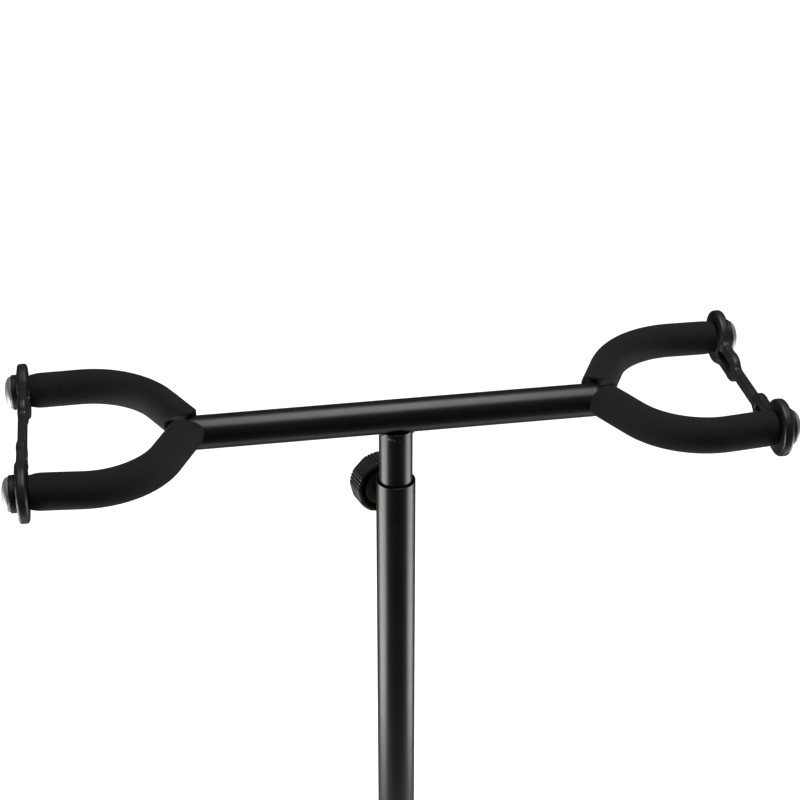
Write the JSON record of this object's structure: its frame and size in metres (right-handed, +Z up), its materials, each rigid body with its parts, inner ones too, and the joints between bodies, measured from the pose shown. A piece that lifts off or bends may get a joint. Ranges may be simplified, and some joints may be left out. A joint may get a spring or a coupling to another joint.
{
  "type": "guitar rack",
  "caption": "Free-standing tubular guitar rack: folding tripod, body cradle and a height-adjustable cross bar with foam-covered neck yokes closed by rubber straps.",
  "frame": {"origin": "on the post axis at floor level", "axes": "+Z up; +X along the cross bar towards the right-hand yoke at rest; -Y to the front, towards the cradle knob"},
  "size_m": [0.5358, 0.4546, 0.7535],
  "materials": {
    "black_tube": "satin black powder coat on steel tube and rod",
    "black_weld": "weld bead under satin black coat",
    "foam": "matt black fine-celled foam sleeve",
    "strap_rubber": "satin moulded black rubber",
    "black_plastic": "moulded black plastic, fine grain",
    "satin_silver": "satin silver domed push-on cap",
    "zinc_steel": "bright zinc plated",
    "forged_black": "black coated pressed steel",
    "brass": "plain turned brass"
  },
  "bodies": {
    "base": {"outer_tube": "black_tube", "height_nut": "black_tube", "leg_hub": "black_plastic", "hub_screws": "zinc_steel", "leg_pins": "zinc_steel", "post_cap": "strap_rubber"},
    "mast_glide": {"tube_glide": "black_plastic"},
    "head": {"inner_tube": "black_tube", "cross_bar": "black_tube", "bar_weld": "black_weld", "yoke_rod_left": "black_tube", "yoke_rod_right": "black_tube", "yoke_weld_left": "black_weld", "yoke_weld_right": "black_weld", "far_neck_foam_left": "foam", "far_neck_foam_right": "foam", "near_neck_foam_left": "foam", "near_neck_foam_right": "foam", "neck_strap_left": "strap_rubber", "neck_strap_right": "strap_rubber", "prong_collars": "black_plastic", "dome_caps": "satin_silver"},
    "height_pad": {"height_pad": "brass"},
    "height_knob": {"height_knob": "black_plastic", "height_screw": "zinc_steel"},
    "cradle": {"cradle_hub": "black_plastic", "cradle_nut": "brass", "cradle_arm_left": "black_tube", "cradle_arm_right": "black_tube", "cradle_welds": "black_weld", "cradle_rod_left": "black_tube", "cradle_rod_right": "black_tube", "far_body_foam_left": "foam", "far_body_foam_right": "foam", "near_body_foam_left": "foam", "near_body_foam_right": "foam", "cradle_tip_caps": "strap_rubber"},
    "cradle_pad": {"cradle_pad": "brass"},
    "cradle_knob": {"cradle_knob": "black_plastic", "cradle_screw": "zinc_steel"},
    "rear_leg": {"rear_leg": "black_tube", "rear_leg_eye": "forged_black", "rear_foot": "strap_rubber"},
    "front_left_leg": {"front_left_leg": "black_tube", "front_left_leg_eye": "forged_black", "front_left_foot": "strap_rubber"},
    "front_right_leg": {"front_right_leg": "black_tube", "front_right_leg_eye": "forged_black", "front_right_foot": "strap_rubber"}
  },
  "joints": [
    {"name": "height_slide", "type": "slide", "parent": "base", "child": "mast_glide", "axis": [0, 0, 1], "range_m": [-0.03, 0.26]},
    {"name": "head_swivel", "type": "hinge", "parent": "mast_glide", "child": "head", "pos_m": [0, 0, 0.33], "axis": [0, 0, 1], "continuous": true},
    {"name": "height_pad_travel", "type": "slide", "parent": "base", "child": "height_pad", "axis": [-0.2672, 0.9636, 0], "range_m": [0, 0.00187]},
    {"name": "height_knob_turn", "type": "hinge", "parent": "height_pad", "child": "height_knob", "pos_m": [0, 0, 0.6665], "axis": [-0.2672, 0.9636, 0], "range_deg": [0, 540]},
    {"name": "cradle_slide", "type": "slide", "parent": "base", "child": "cradle", "axis": [0, 0, 1], "range_m": [-0.05, 0.03]},
    {"name": "cradle_pad_travel", "type": "slide", "parent": "cradle", "child": "cradle_pad", "axis": [0, -1, 0], "range_m": [0, 0.00187]},
    {"name": "cradle_knob_turn", "type": "hinge", "parent": "cradle_pad", "child": "cradle_knob", "pos_m": [0, 0, 0.215], "axis": [0, -1, 0], "range_deg": [0, 540]},
    {"name": "rear_leg_fold", "type": "hinge", "parent": "base", "child": "rear_leg", "pos_m": [0, 0.038, 0.11], "axis": [-1, 0, 0], "range_deg": [0, 66]},
    {"name": "front_left_leg_fold", "type": "hinge", "parent": "base", "child": "front_left_leg", "pos_m": [-0.03291, -0.019, 0.11], "axis": [0.5, -0.866, 0], "range_deg": [0, 66]},
    {"name": "front_right_leg_fold", "type": "hinge", "parent": "base", "child": "front_right_leg", "pos_m": [0.03291, -0.019, 0.11], "axis": [0.5, 0.866, 0], "range_deg": [0, 66]}
  ],
  "couplings": [
    {"joint": "height_pad_travel", "follows": "height_knob_turn", "m_per_rad": 0.00019894},
    {"joint": "cradle_pad_travel", "follows": "cradle_knob_turn", "m_per_rad": 0.00019894}
  ]
}
